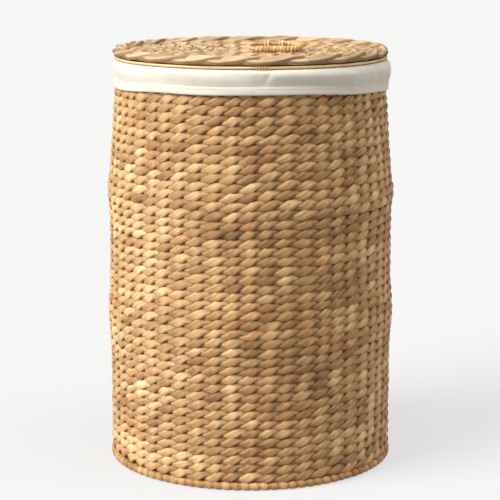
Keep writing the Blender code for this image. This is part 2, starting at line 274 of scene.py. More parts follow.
def twined_pair(tubes, rng, angle, middle, out, side, stitches, shape, lean=0.0, stems=1,
                shade=0.0):
    """Two strands that wind round each other, with one stake between each two crossings.

    angle runs once round the course, and middle, out and side give, at each angle, the course's
    middle line, the way out of the weave and the way across it. shape is a Strand. lean moves
    the crossings round, in radians. Each strand is one stem, or a few that lie side by side.
    shade makes them all darker: partly browner stems, partly painted shade.
    """
    n = len(angle)
    at = angle / TAU
    for strand in (0, 1):
        theta = stitches * (angle + lean) / 2 + strand * math.pi
        swing = shape.out_swing * (1.0 + 0.10 * wander(rng, stitches * 2, at))
        rise = shape.side_swing * (1.0 + 0.16 * wander(rng, stitches * 2, at))
        cos, sin = np.cos(theta), np.sin(theta)
        shows = (cos + SHOWING) / (1.0 + SHOWING)
        drift = 0.0006 * wander(rng, stitches, at)
        centres = middle + out * (swing * shows)[:, None] + side * (rise * sin + drift)[:, None]
        roll = (STRAND_ROLL * sin)[:, None]
        long_axis = side * np.cos(roll) - out * np.sin(roll)
        short_axis = out * np.cos(roll) + side * np.sin(roll)
        swell = np.abs(cos) ** STRAND_SWELL
        width = shape.squeezed + (shape.width - shape.squeezed) * swell
        width = width * (1.0 + 0.09 * wander(rng, stitches * 2, at))
        thick = shape.thickness * (1.0 + 0.10 * wander(rng, stitches * 2, at))
        each = wander(rng, stitches, (theta / math.pi) / stitches)
        slow = wander(rng, max(3, stitches // 6), at)
        for stem in range(stems):
            place = ((stem + 0.5) / stems - 0.5) * width
            stem_width = width / stems * (1.0 if stems == 1 else 1.25)
            rings = strand_rings(rng, centres + long_axis * place[:, None], long_axis, short_axis,
                                 stem_width, thick, n // 5)
            tone = 0.51 - shade + 0.16 * each + 0.17 * slow
            tone = tone + 0.08 * wander(rng, stitches * 3, at)
            if stems > 1:
                tone = tone + 0.16 * wander(rng, stitches, at)
            tint = 0.5 + 0.28 * wander(rng, max(3, stitches // 4), at)
            tint = tint + 0.18 * wander(rng, stitches, at)
            turns = TAU * (np.arange(rings.shape[1]) + 0.5) / rings.shape[1]
            # depth carries painted shade: lower where the strand dips into the weave, and along its
            # edges.
            edge = 1.0 - EDGE_SHADE * np.abs(np.cos(turns)) ** 8
            depth = np.maximum(np.abs(shows), LEAST_DEPTH)[:, None] * edge
            tubes.add(rings, True, tone, tint, depth, girth=2.6 * shape.width / stems)


def outward(angle):
    """The level way out from the axis at an angle to the right of the front, or at each one."""
    return np.stack([np.sin(angle), -np.cos(angle), np.zeros_like(angle)], -1)


# Materials ----------------------------------------------------------------------------------


def add_node(tree, kind, inputs=None, **settings):
    made = tree.nodes.new(kind)
    for key, value in settings.items():
        setattr(made, key, value)
    for key, value in (inputs or {}).items():
        if isinstance(value, bpy.types.NodeSocket):
            tree.links.new(value, made.inputs[key])
        else:
            made.inputs[key].default_value = value
    return made


def multiplied(tree, factor, colour, by):
    """colour times by, as far as factor says. Sockets 0, 6 and 7 of the Mix node are its factor
    and its two colours."""
    made = add_node(tree, "ShaderNodeMix", {0: factor, 6: colour, 7: by},
                    data_type="RGBA", blend_type="MULTIPLY")
    return made.outputs[2]


def arithmetic(tree, operation, first, second):
    made = add_node(tree, "ShaderNodeMath", {0: first, 1: second}, operation=operation)
    return made.outputs[0]


def grey(value):
    return (value, value, value, 1.0)


def ramp(tree, factor, stops):
    made = add_node(tree, "ShaderNodeValToRGB", {"Fac": factor})
    elements = made.color_ramp.elements
    while len(elements) < len(stops):
        elements.new(0.5)
    for element, (position, value) in zip(elements, stops):
        element.position = position
        element.color = (*value, 1.0) if np.ndim(value) else grey(value)
    return made.outputs["Color"]


def start_material(name, roughness, specular):
    made = bpy.data.materials.new(name)
    made.use_nodes = True
    tree = made.node_tree
    shader = tree.nodes["Principled BSDF"]
    shader.inputs["Roughness"].default_value = roughness
    shader.inputs["Specular IOR Level"].default_value = specular
    return made, tree, shader


def attribute(tree, name):
    return add_node(tree, "ShaderNodeAttribute", attribute_name=name).outputs["Fac"]


def uneven(tree, name, noise, size=0.7):
    """A strand's own value of that name, moved up and down by noise."""
    shift = arithmetic(tree, "MULTIPLY", arithmetic(tree, "SUBTRACT", noise, 0.5), size)
    return arithmetic(tree, "ADD", attribute(tree, name), shift)


def strand_noise(tree, along, across, detail=3.0):
    """Noise drawn out along the strands: along and across are features to the metre."""
    where = add_node(tree, "ShaderNodeUVMap", uv_map="strand").outputs["UV"]
    spread = add_node(tree, "ShaderNodeMapping", {"Vector": where, "Scale": (along, across, 1.0)})
    place = add_node(tree, "ShaderNodeTexCoord").outputs["Object"]
    shift = add_node(tree, "ShaderNodeVectorMath", {0: place, 1: (3.0, 3.0, 7.0)},
                     operation="MULTIPLY")
    both = add_node(tree, "ShaderNodeVectorMath", {0: spread.outputs[0], 1: shift.outputs[0]},
                    operation="ADD")
    noise = add_node(tree, "ShaderNodeTexNoise", {"Vector": both.outputs[0], "Scale": 1.0,
                                                  "Detail": detail, "Roughness": 0.6})
    return noise.outputs["Fac"]


REDDISH = (1.0, 0.66, 0.47, 1.0)
GREENISH = (0.80, 0.86, 0.78, 1.0)
STAIN = (0.62, 0.45, 0.37, 1.0)
# Warm tint of the painted shade in the gaps between strands
PAINTED_SHADE_TINT = (0.75, 0.55, 0.40)


def straw(name, palette, roughness=0.58, crevice=0.45):
    """Dried stems: each strand's own tone, lengthwise fibres, stains, and painted shade in the gaps
    and along the strands' edges.
    crevice is how much of the light the painted shade leaves."""
    made, tree, shader = start_material(name, roughness, 0.35)
    fibres = strand_noise(tree, 28.0, 1400.0)
    streaks = strand_noise(tree, 14.0, 320.0, 2.0)
    place = add_node(tree, "ShaderNodeTexCoord").outputs["Object"]
    blotch = add_node(tree, "ShaderNodeTexNoise", {"Vector": place, "Scale": 75.0, "Detail": 3.0})

    colour = ramp(tree, uneven(tree, "tone", streaks), palette)
    tint = uneven(tree, "tint", blotch.outputs["Fac"])
    red = ramp(tree, tint, ((0.66, 0.0), (1.0, 0.55)))
    colour = multiplied(tree, red, colour, REDDISH)
    green = ramp(tree, tint, ((0.0, 0.75), (0.30, 0.0)))
    colour = multiplied(tree, green, colour, GREENISH)
    stain = add_node(tree, "ShaderNodeTexNoise", {"Vector": place, "Scale": 24.0, "Detail": 4.0,
                                                  "Roughness": 0.65})
    stained = ramp(tree, stain.outputs["Fac"], ((0.54, 0.0), (0.70, 0.85)))
    colour = multiplied(tree, stained, colour, STAIN)
    lines = ramp(tree, fibres, ((0.30, 0.64), (0.64, 1.08)))
    colour = multiplied(tree, 0.85, colour, lines)
    # Painted shade: darker where the depth attribute is low, in the gaps and along strand edges.
    painted_shade = tuple(crevice * share for share in PAINTED_SHADE_TINT)
    painted_shade = ramp(tree, attribute(tree, "depth"), ((0.10, painted_shade), (0.85, 1.0)))
    colour = multiplied(tree, 1.0, colour, painted_shade)
    tree.links.new(colour, shader.inputs["Base Color"])
    rough = add_node(tree, "ShaderNodeMapRange", {"Value": fibres, "To Min": roughness - 0.1,
                                                  "To Max": roughness + 0.12})
    tree.links.new(rough.outputs[0], shader.inputs["Roughness"])
    bump = add_node(tree, "ShaderNodeBump", {"Height": fibres, "Strength": 0.55,
                                             "Distance": 0.0005})
    tree.links.new(bump.outputs[0], shader.inputs["Normal"])
    return made


def cotton(name, colour):
    """Plain-woven cotton with fine slubs both ways."""
    made, tree, shader = start_material(name, 0.92, 0.2)
    warp = strand_noise(tree, 2600.0, 260.0, 2.0)
    weft = strand_noise(tree, 260.0, 2600.0, 2.0)
    threads = arithmetic(tree, "MULTIPLY", arithmetic(tree, "ADD", warp, weft), 0.5)
    shade = ramp(tree, threads, ((0.35, 0.93), (0.62, 1.03)))
    colour = multiplied(tree, 1.0, (*colour, 1.0), shade)
    tree.links.new(colour, shader.inputs["Base Color"])
    shader.inputs["Sheen Weight"].default_value = 0.25
    shader.inputs["Sheen Roughness"].default_value = 0.5
    bump = add_node(tree, "ShaderNodeBump", {"Height": threads, "Strength": 0.4,
                                             "Distance": 0.0004})
    tree.links.new(bump.outputs[0], shader.inputs["Normal"])
    return made


def painted_wire(name):
    """Dark brown paint with worn, shinier places."""
    made, tree, shader = start_material(name, 0.45, 0.5)
    place = add_node(tree, "ShaderNodeTexCoord").outputs["Object"]
    noise = add_node(tree, "ShaderNodeTexNoise", {"Vector": place, "Scale": 220.0, "Detail": 4.0})
    colour = ramp(tree, noise.outputs["Fac"], ((0.35, (0.10, 0.065, 0.04)),
                                               (0.70, (0.20, 0.135, 0.085))))
    tree.links.new(colour, shader.inputs["Base Color"])
    rough = add_node(tree, "ShaderNodeMapRange", {"Value": noise.outputs["Fac"], "To Min": 0.35,
                                                  "To Max": 0.6})
    tree.links.new(rough.outputs[0], shader.inputs["Roughness"])
    return made


# The colours of dried stems, from dark to light
PALETTE = (
    (0.00, (0.27, 0.130, 0.045)),
    (0.28, (0.47, 0.250, 0.095)),
    (0.52, (0.67, 0.405, 0.175)),
    (0.76, (0.82, 0.575, 0.290)),
    (1.00, (0.92, 0.740, 0.450)),
)


def paled(palette, share):
    """The palette mixed towards a pale straw, as far as share says."""
    pale = np.array([0.80, 0.68, 0.48])
    return tuple((place, tuple((1.0 - share) * np.array(colour) + share * pale * max(colour)))
                 for place, colour in palette)


STRAW = straw("wall_straw", paled(PALETTE, 0.05), crevice=0.30)
# Much paler than the wall's straw: painted sheen of the sky on the lid's top.
LID_STRAW = straw("lid_straw", paled(PALETTE, 0.44), crevice=0.50)
FOOT_STRAW = straw("foot_straw", PALETTE)
HANDLE_STRAW = straw("handle_straw", PALETTE, roughness=0.5, crevice=0.6)
ROD_CANE = straw("rod_cane", PALETTE, roughness=0.42, crevice=0.8)
WIRE = painted_wire("wire_paint")
COTTON = cotton("off_white_cotton", (0.685, 0.64, 0.55))
THREAD = cotton("sewing_thread", (0.72, 0.67, 0.58))


# Wall ---------------------------------------------------------------------------------------


def finish_piece(piece, body, slot, *nodes):
    """Puts a piece on its body, in place of the nodes that it stands for."""
    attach(piece, body)
    if nodes:
        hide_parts(*nodes)


class Drift:
    """Smooth unevenness over a whole surface of turning angle and height."""

    def __init__(self, seed, size, waves=7, turns=(2, 12), climb=(-30.0, 30.0)):
        rng = np.random.default_rng(seed)
        self.turns = rng.integers(*turns, waves)
        self.climb = rng.uniform(*climb, waves)
        self.phase = rng.uniform(0.0, TAU, waves)
        self.size = size / math.sqrt(waves)

    def at(self, angle, z):
        parts = [np.sin(t * angle + c * z + p)
                 for t, c, p in zip(self.turns, self.climb, self.phase)]
        return self.size * sum(parts)


STAKE_LEAN = Drift(11, 0.009)  # radians
ROW_WAVE = Drift(12, 0.0012)


def stake_shift(angle, z):
    """How far, in radians, the crossings lie from even spacing."""
    rng = np.random.default_rng(13)
    return STAKE_LEAN.at(angle, z) + 0.007 * wander(rng, STAKES, angle / TAU)


def wall_middle(z):
    """Radius of the middle of the woven wall at height z."""
    return wall_radius(z) - WALL_STRAND.out_swing - WALL_STRAND.thickness / 2


def wall_courses():
    """One piece for each course, from the foot up to the rim."""
    low, high = FOOT_TOP, RIM[0].z
    pitch = (high - low) / WALL_ROWS
    bays = ("lower", "middle", "upper")
    edges = [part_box("wall_weave_outer_" + bay)[1].z for bay in bays]
    n = STAKES // 2 * 16
    angle = TAU * np.arange(n) / n
    out = outward(angle)
    # Darker round the front-right of the wall: partly browner stems, partly painted shade of the key
    # light's fall-off.
    shade = BROWNING_AND_SHADE * np.maximum(out @ outward(DARKEST_SIDE), 0.0) ** 3
    for row in range(WALL_ROWS):
        rng = np.random.default_rng(100 + row)
        level = low + (row + 0.5) * pitch
        z = level + ROW_WAVE.at(angle, level) + 0.0007 * wander(rng, 25, angle / TAU)
        z = np.clip(z, low + 0.005, high - 0.004)
        middle = out * wall_middle(z)[:, None] + UP * z[:, None]
        tubes = Tubes(rows=6)
        lean = stake_shift(angle, level) + 0.016 * wander(rng, 40, angle / TAU)
        twined_pair(tubes, rng, angle, middle, out, UP, STAKES, WALL_STRAND, lean, shade=shade)
        bay = bays[sum(level > edge for edge in edges)]
        piece = tubes.build(f"wall_course_{row + 1:02d}", STRAW)
        nodes = ("wall_weave_outer_" + bay, "wall_weave_inner_" + bay)
        finish_piece(piece, "basket", "woven_cane", *nodes)


def round_rings(centres, radius, around=8, axis=(1.0, 0.0, 0.0)):
    """Rings of a round bar along a line of points; axis is any direction never along the line."""
    ahead = np.gradient(centres, axis=0)
    ahead /= np.linalg.norm(ahead, axis=1)[:, None]
    across = np.cross(ahead, axis)
    across /= np.linalg.norm(across, axis=1)[:, None]
    other = np.cross(ahead, across)
    turns = TAU * np.arange(around) / around
    spread = (across[:, None] * np.cos(turns)[None, :, None]
              + other[:, None] * np.sin(turns)[None, :, None])
    return centres[:, None] + spread * np.broadcast_to(radius, len(centres))[:, None, None]


def hoop_rings(radius, z, bar, count=180, around=8, rng=None, wobble=0.0):
    """Rings of a round bar that is bent into a hoop; bar is its radius."""
    angle = TAU * np.arange(count) / count
    out = outward(angle)
    r = radius + (wobble * wander(rng, 17, angle / TAU) if rng else 0.0)
    level = z + (wobble * wander(rng, 19, angle / TAU) if rng else 0.0)
    centres = out * np.broadcast_to(r, count)[:, None] + UP * np.broadcast_to(level, count)[:, None]
    turns = TAU * np.arange(around) / around
    spread = (out[:, None] * np.cos(turns)[None, :, None]
              + UP[None] * np.sin(turns)[None, :, None])
    return centres[:, None] + spread * bar


def cage_wires():
    """The uprights and hoops inside the wall."""
    tubes = Tubes()
    low, high = FOOT[1].z - 0.004, RIM[0].z + 0.003
    z = np.linspace(low, high, 45)
    for stake in range(STAKES):
        even = TAU * stake / STAKES
        angle = even - stake_shift(np.full_like(z, even), z)
        out = outward(angle)
        centres = out * wall_middle(z)[:, None] + UP * z[:, None]
        tubes.add(round_rings(centres, WIRE_RADIUS, 6), closed=False, girth=0.01)
    for level in (low + 0.002, HOOP_BULGES[0][0], HOOP_BULGES[1][0], high - 0.002):
        radius = float(wall_middle(np.float64(level)))
        tubes.add(hoop_rings(radius, level, WIRE_RADIUS), girth=0.01)
    finish_piece(tubes.build("cage_wires", WIRE), "basket", "steel_wire", "wire_cage")


def wrapped_ring(name, material, rng, radius, z, half_width, half_height, wraps, groove, lowest):
    """A border wound with a flat strand: rounded, with a groove between each two turns."""
    per_wrap, around = 9, 18
    n = wraps * per_wrap
    angle = TAU * np.arange(n) / n
    turns = TAU * np.arange(around) / around
    out = outward(angle)
    slant = 0.9 * np.sin(turns)[None, :]
    phase = wraps * angle[:, None] + slant + 0.35 * wander(rng, wraps, angle / TAU)[:, None]
    bulge = np.abs(np.sin(phase / 2)) ** 0.45
    index = np.floor(phase / TAU).astype(int) % wraps
    size = rng.uniform(-1, 1, wraps)[index]
    scale = 1.0 - groove * (1.0 - bulge) + 0.02 * size
    box = (np.abs(np.cos(turns)) ** 4 + np.abs(np.sin(turns)) ** 4) ** -0.25
    box = 1.0 + 0.6 * (box - 1.0)
    creases = 1.0 + 0.012 * wander(rng, n // 2, angle / TAU, around).T
    x = half_width * np.cos(turns) * box * scale * creases
    y = half_height * np.sin(turns) * box * scale * creases
    rings = (out[:, None] * (radius + x)[..., None]
             + np.broadcast_to(UP, (n, 3))[:, None] * (z + y)[..., None])
    rings[..., 2] = np.maximum(rings[..., 2], lowest)
    tubes = Tubes(rows=8)
    tone = 0.36 + 0.13 * rng.uniform(-1, 1, wraps)[index[:, around // 4]]
    tint = 0.5 + 0.25 * rng.uniform(-1, 1, wraps)[index[:, around // 4]]
    # bulge as depth paints shade into the grooves between the turns.
    tubes.add(rings, True, tone, tint, bulge.mean(axis=1), girth=0.05, wound=True)
    return tubes.build(name, material)


def borders():
    """The wrapped borders along the foot and the rim."""
    rng = np.random.default_rng(21)
    half = (FOOT[1].x - BASE[1].x) / 2
    height = FOOT_TOP / 2
    piece = wrapped_ring("foot_wrap", FOOT_STRAW, rng, BASE[1].x + half, height, half * 0.93,
                         height * 0.97, FOOT_WRAPS, groove=0.26, lowest=0.0003)
    finish_piece(piece, "basket", "border_cane", "foot_border")
    half = RIM_HALF_WIDTH
    height = (RIM[1].z - RIM[0].z) / 2
    piece = wrapped_ring("rim_wrap", FOOT_STRAW, rng, RIM[1].x - half - 0.0003,
                         RIM[0].z + height, half, height * 0.97, RIM_WRAPS, groove=0.16,
                         lowest=0.0)
    finish_piece(piece, "basket", "border_cane", "rim_border")


# Lid ----------------------------------------------------------------------------------------


def flat_course(tubes, rng, radius, z, stitches, shape, steps=18, stems=1):
    """A twined course that lies flat, round the lid or the base."""
    n = max(stitches // 2 * steps, 60)
    angle = TAU * np.arange(n) / n
    out = outward(angle)
    r = radius + 0.0005 * wander(rng, max(5, stitches // 2), angle / TAU)
    level = z + 0.0003 * wander(rng, max(5, stitches // 2), angle / TAU)
    middle = out * r[:, None] + UP * level[:, None]
    lean = 0.12 / stitches * TAU * wander(rng, stitches, angle / TAU)
    upward = np.broadcast_to(UP, (n, 3))
    twined_pair(tubes, rng, angle, middle, upward, -out, stitches, shape, lean, stems)


def oval_ring(rng, radius, z, width, height, count):
    """The rings of one plain strand laid round the axis."""
    angle = TAU * np.arange(count) / count
    out = outward(angle)
    centres = out * radius + UP * z
    upward = np.broadcast_to(UP, out.shape)
    return strand_rings(rng, centres, out, upward, width, height, count // 6)


def even_stitches(radius, length):
    """How many stitches of about that length go round, always an even number."""
    return max(6, 2 * round(TAU * radius / length / 2))


def lid_courses():
    """One piece for each course of the lid."""
    for k, node in enumerate(COURSES):
        low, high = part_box(node)
        rng = np.random.default_rng(300 + k)
        radius = high.x - (COURSE_PITCH - COURSE_GAP) / 2
        tubes = Tubes(rows=4)
        flat_course(tubes, rng, radius, (low.z + high.z) / 2, even_stitches(radius, LID_STITCH),
                    LID_STRAND)
        piece = tubes.build(f"lid_twist_{k + 1:02d}", LID_STRAW)
        finish_piece(piece, "lid", "lid_cane", node)


def lid_rope():
    """The thick twisted edge, with a plain strand inside it that fills its gaps."""
    rng = np.random.default_rng(320)
    low, high = ROPE
    tubes = Tubes(rows=6)
    radius = high.x - ROPE_STRAND.width / 2
    flat_course(tubes, rng, radius, (low.z + high.z) / 2, ROPE_STITCHES, ROPE_STRAND, steps=30,
                stems=2)
    # Its depth of 0.5 paints shade on it, as it lies down in the rope's gaps.
    tubes.add(oval_ring(rng, radius + 0.0008, low.z + 0.0036, 0.0118, 0.0072, 240), True,
              0.30 + 0.15 * wander(rng, 24, np.arange(240) / 240), 0.5, 0.5, girth=0.03)
    finish_piece(tubes.build("lid_rope", LID_STRAW), "lid", "lid_cane", "lid_edge_rope")


def lid_middle():
    """The smallest courses and the crossed stems that the lid starts from."""
    rng = np.random.default_rng(330)
    low, high = CENTRE
    middle = (low.z + high.z) / 2
    tubes = Tubes(rows=2)
    flat_course(tubes, rng, high.x - 0.0055, middle, 8, HUB_STRAND)
    along = np.linspace(-1.0, 1.0, 15)
    for k in range(4):
        turn = TAU * (k % 2) / 4 + 0.3 + 0.08 * k
        ahead, beside = outward(turn + TAU / 4), outward(turn + TAU / 2)
        offset = (0.0023, -0.0023)[k // 2]
        lift = 0.0012 * (1 - along**2) * (1 if k % 2 else 0.2)
        level = middle + 0.0012 + lift - 0.0022 * along**4
        centres = ahead * (along * 0.0115)[:, None] + beside * offset + UP * level[:, None]
        flat = np.broadcast_to(beside, (15, 3))
        rings = strand_rings(rng, centres, flat, np.broadcast_to(UP, (15, 3)), 0.0050, 0.0030, 5)
        tubes.add(rings, closed=False, tone=0.45 + 0.1 * k, tint=0.5, depth=0.9, girth=0.016)
    finish_piece(tubes.build("lid_hub", LID_STRAW), "lid", "lid_cane", "lid_centre")


def lid_rod():
    """The smooth cane along the lid's edge, its bound joint and the spokes under the weave."""
    rng = np.random.default_rng(340)
    low, high = LID
    bar = (high.z - low.z) / 2
    middle = low.z + bar
    radius = high.x - bar
    tubes = Tubes(rows=6)
    tubes.add(hoop_rings(radius, middle, bar * 0.97, 260, 12, rng, 0.00025), tone=0.78, tint=0.5,
              girth=0.012)
    for k in range(LID_SPOKES):
        reach = np.linspace(LID_SPOKES_START, radius, 12)
        centres = outward(TAU * (k + 0.5) / LID_SPOKES) * reach[:, None] + UP * middle
        rings = round_rings(centres, LID_SPOKE_RADIUS, 8, UP[0])
        # depth 0.7 paints shade on the spokes, as they lie under the weave.
        tubes.add(rings, closed=False, tone=0.6, tint=0.5, depth=0.7, girth=0.01)
    finish_piece(tubes.build("lid_rod", ROD_CANE), "lid", "border_cane", "lid_frame")

    wraps = 5
    tubes = Tubes(rows=2)
    turns = np.linspace(0.0, wraps * TAU, wraps * 14)
    angle = (0.009 + 0.016 * turns / turns[-1]) / radius
    out = outward(angle)
    spread = bar + 0.0005
    axis = out * np.cos(turns)[:, None] + UP * np.sin(turns)[:, None]
    centres = out * radius + UP * middle + axis * spread
    along = outward(angle + TAU / 4)
    rings = strand_rings(rng, centres, along, axis, 0.0026, 0.0011, 20, 8)
    tubes.add(rings, closed=False, tone=0.55, tint=0.8, depth=1.0, girth=0.006)
    finish_piece(tubes.build("rod_binding", HANDLE_STRAW), "lid", "border_cane")


# Handle -------------------------------------------------------------------------------------


def loop_path(along):
    """Points of the handle's centre line; along starts at the back bar's middle and runs to the
    right, round the front and back to the left."""
    along = np.asarray(along, float)
    arc = math.pi * LOOP_RADIUS
    stops = np.cumsum([LOOP_HALF, arc, 2 * LOOP_HALF, arc])
    a = np.clip((along - stops[0]) / LOOP_RADIUS, 0.0, math.pi)
    b = np.clip((along - stops[2]) / LOOP_RADIUS, 0.0, math.pi)
    x = np.minimum(along, LOOP_HALF) + LOOP_RADIUS * (np.sin(a) - np.sin(b))
    x = x - np.clip(along - stops[1], 0.0, 2 * LOOP_HALF) + np.maximum(along - stops[3], 0.0)
    y = LOOP_RADIUS * (np.cos(a) - np.cos(b))
    return np.stack([HINGE.x + x, HINGE.y + y * math.cos(LOOP_LEAN),
                     HINGE.z + y * math.sin(LOOP_LEAN)], 1)


def loop_frame(along):
    """Points, directions and two cross directions along the handle's centre line."""
    points = loop_path(along)
    step = 1e-4
    ahead = loop_path(along + step) - loop_path(along - step)
    ahead /= np.linalg.norm(ahead, axis=1)[:, None]
    upward = np.broadcast_to([0.0, -math.sin(LOOP_LEAN), math.cos(LOOP_LEAN)], points.shape)
    return points, ahead, np.cross(ahead, upward), upward


def handle_cane():
    """The bent cane inside the winding, greener round its bare left end."""
    rng = np.random.default_rng(400)
    n = 120
    along = LOOP_LENGTH * np.arange(n) / n
    points, _, beside, upward = loop_frame(along)
    turns = TAU * np.arange(12) / 12
    radius = HANDLE_CANE * (1.0 + 0.05 * wander(rng, 14, along / LOOP_LENGTH))
    spread = beside[:, None] * np.cos(turns)[:, None] + upward[:, None] * np.sin(turns)[:, None]
    rings = points[:, None] + spread * radius[:, None, None]
    tubes = Tubes(rows=4)
    tint = 0.5 - 0.45 * np.clip(np.sin(math.pi * (along / LOOP_LENGTH - 0.72) / 0.26), 0.0, 1.0)
    tubes.add(rings, True, 0.55 + 0.15 * wander(rng, 9, along / LOOP_LENGTH), tint, 1.0, girth=0.02)
    finish_piece(tubes.build("handle_cane", HANDLE_STRAW), "handle", "handle_cane", "handle_core")


def winding(tubes, rng, start, end, pitch, width, thickness, slip):
    """A flat strand wound round the handle's cane from one place along it to another."""
    wraps = abs(end - start) / pitch
    n = int(wraps * 14)
    turns = np.linspace(0.0, TAU * wraps, n)
    share = np.linspace(0.0, 1.0, n)
    along = start + (end - start) * share + slip * wander(rng, int(wraps), share)
    points, ahead, beside, upward = loop_frame(along)
    axis = beside * np.cos(turns)[:, None] + upward * np.sin(turns)[:, None]
    slant = 0.25 * np.cos(turns)[:, None]
    reach = HANDLE_CANE + thickness / 2 + 0.0003 * wander(rng, int(wraps * 2), share)
    centres = points + axis * reach[:, None]
    flat = ahead + np.cross(ahead, axis) * slant
    flat /= np.linalg.norm(flat, axis=1)[:, None]
    size = width * (1.0 + 0.16 * wander(rng, int(wraps * 2), share))
    rings = strand_rings(rng, centres, flat, axis, size, thickness, int(wraps * 3), 10)
    tone = 0.60 + 0.22 * wander(rng, int(wraps), share) - 0.10 * share
    tint = 0.62 + 0.28 * wander(rng, int(wraps), share)
    tubes.add(rings, closed=False, tone=tone, tint=tint, depth=1.0, girth=width * 2.3)


def handle_winding():
    """A narrow strand round the right end, and a wide one along the front bar."""
    rng = np.random.default_rng(410)
    tubes = Tubes(rows=6)
    arc = math.pi * LOOP_RADIUS
    right_end = LOOP_HALF + 0.62 * arc
    front_left = LOOP_HALF + arc + 2 * LOOP_HALF + 0.10 * arc
    winding(tubes, rng, WINDING_START, right_end, pitch=0.0029, width=0.0033,
            thickness=0.0018, slip=0.0004)
    winding(tubes, rng, right_end - 0.001, front_left, pitch=0.0046, width=0.0052,
            thickness=0.0021, slip=0.0006)
    finish_piece(tubes.build("handle_winding", HANDLE_STRAW), "handle", "handle_cane",
                 "handle_wrap")


def handle_ties():
    """Straps over the back bar; their legs go down between the lid's courses."""
    for k, (low, high) in enumerate(TIES):
        rng = np.random.default_rng(420 + k)
        x = (low.x + high.x) / 2
        reach = (high.y - low.y) / 2 - 0.0010
        foot = low.z - 0.0030
        bend = np.linspace(0.0, math.pi, 15)
        arch = [(reach, foot), (reach, (foot + HINGE.z) / 2)]
        arch += [(reach * math.cos(a), HINGE.z + (high.z - 0.001 - HINGE.z) * math.sin(a))
                 for a in bend]
        arch += [(-reach, (foot + HINGE.z) / 2), (-reach, foot)]
        line = smooth_line([(0.0, y, z) for y, z in arch], 48)
        ahead = np.gradient(line, axis=0)
        ahead /= np.linalg.norm(ahead, axis=1)[:, None]
        sideways = np.broadcast_to([1.0, 0.0, 0.0], line.shape)
        short = np.cross(ahead, sideways)
        tubes = Tubes(rows=2)
        for offset in (-0.0018, 0.0018):
            centres = line + [x + offset, HINGE.y, 0.0]
            rings = strand_rings(rng, centres, sideways, short, 0.0039, 0.0018, 9, 10, 0.06)
            tubes.add(rings, False, 0.62 + 60.0 * offset, 0.5, 1.0, girth=0.012)
        name = ("left", "right")[k]
        piece = tubes.build("handle_strap_" + name, HANDLE_STRAW)
        finish_piece(piece, "lid", "handle_cane", "handle_tie_" + name)


# Base ---------------------------------------------------------------------------------------


def base_weave():
    """The twined base, and a plain strand that closes the gap between it and the wall."""
    low, high = BASE
    rng = np.random.default_rng(500)
    tubes = Tubes(rows=6)
    middle = (low.z + high.z) / 2
    for k in range(int((high.x - 0.012) / BASE_PITCH)):
        radius = high.x - (k + 0.5) * BASE_PITCH
        flat_course(tubes, rng, radius, middle, even_stitches(radius, BASE_STITCH), BASE_STRAND,
                    steps=14)
    # depth 0.6 paints shade on this strand, as it lies in the gap by the wall.
    tubes.add(oval_ring(rng, high.x + 0.0050, FOOT[1].z + 0.0016, 0.0110, 0.0060, 240), True, 0.3,
              0.5, 0.6, girth=0.03)
    finish_piece(tubes.build("base_courses", FOOT_STRAW), "basket", "woven_cane", "base_weave")


def base_wires():
    """The spokes under the base, with their hub and edge wire."""
    tubes = Tubes()
    low, high = SPOKES
    bar = (high.z - low.z) / 2
    middle = low.z + bar
    radius = high.x - bar
    for k in range(BASE_SPOKES):
        reach = np.linspace(BASE_HUB_RADIUS, radius, 12)
        centres = outward(TAU * k / BASE_SPOKES) * reach[:, None] + UP * middle
        tubes.add(round_rings(centres, bar * 0.95, 8, UP[0]), False, girth=0.01)
    for r in (BASE_HUB_RADIUS, radius):
        tubes.add(hoop_rings(r, middle, bar * 0.97, 120), girth=0.01)
    finish_piece(tubes.build("base_wires", WIRE), "basket", "steel_wire", "base_spokes")


# Liner --------------------------------------------------------------------------------------


def cloth_piece(name, points, thickness):
    """A sheet of cloth from a grid of points (down, round, 3), closed round the axis, with its
    map in metres."""
    rows, columns = points.shape[:2]
    mesh = bpy.data.meshes.new(name)
    grid = bmesh.new()
    layer = grid.loops.layers.uv.new("strand")
    verts = [[grid.verts.new(points[i, j]) for j in range(columns)] for i in range(rows)]
    steps = np.linalg.norm(np.diff(points[:, 0], axis=0), axis=1)
    down = np.concatenate([[0.0], np.cumsum(steps)])
    reach = np.linalg.norm(points[:, 0, :2], axis=1).max()
    for i in range(rows - 1):
        for j in range(columns):
            corners = ((i, j), (i + 1, j), (i + 1, j + 1), (i, j + 1))
            face = grid.faces.new([verts[a][b % columns] for a, b in corners])
            face.smooth = True
            for loop, (a, b) in zip(face.loops, corners):
                loop[layer].uv = (TAU * reach * b / columns, down[a])
    grid.to_mesh(mesh)
    grid.free()
    made = bpy.data.objects.new(name, mesh)
    bpy.context.collection.objects.link(made)
    thick = made.modifiers.new("thickness", "SOLIDIFY")
    thick.thickness = thickness
    thick.offset = 0.0
    made.data.materials.append(COTTON)
    applied = bpy.data.meshes.new_from_object(
        made.evaluated_get(bpy.context.evaluated_depsgraph_get()))
    made.modifiers.clear()
    made.data = applied
    bpy.data.meshes.remove(mesh)
    return made


def turned_sheet(profile, shift, columns=420):
    """Points of a sheet turned round +Z from (radius, height) pairs; shift(angle, radius, z)
    gives how far each point lies out of that surface, radially and upwards."""
    angle = TAU * np.arange(columns) / columns
    r, z = profile[:, :1], profile[:, 1:]
    a = np.broadcast_to(angle, (len(profile), columns))
    out, up = shift(a, r, z)
    r, z = r + out, z + up
    return np.stack([r * np.sin(a), -r * np.cos(a), np.broadcast_to(z, a.shape)], 2)


def line_through(points, count):
    """count (radius, height) pairs on one smooth curve through the given ones."""
    return smooth_line([(r, z, 0.0) for r, z in points], count)[:, :2]


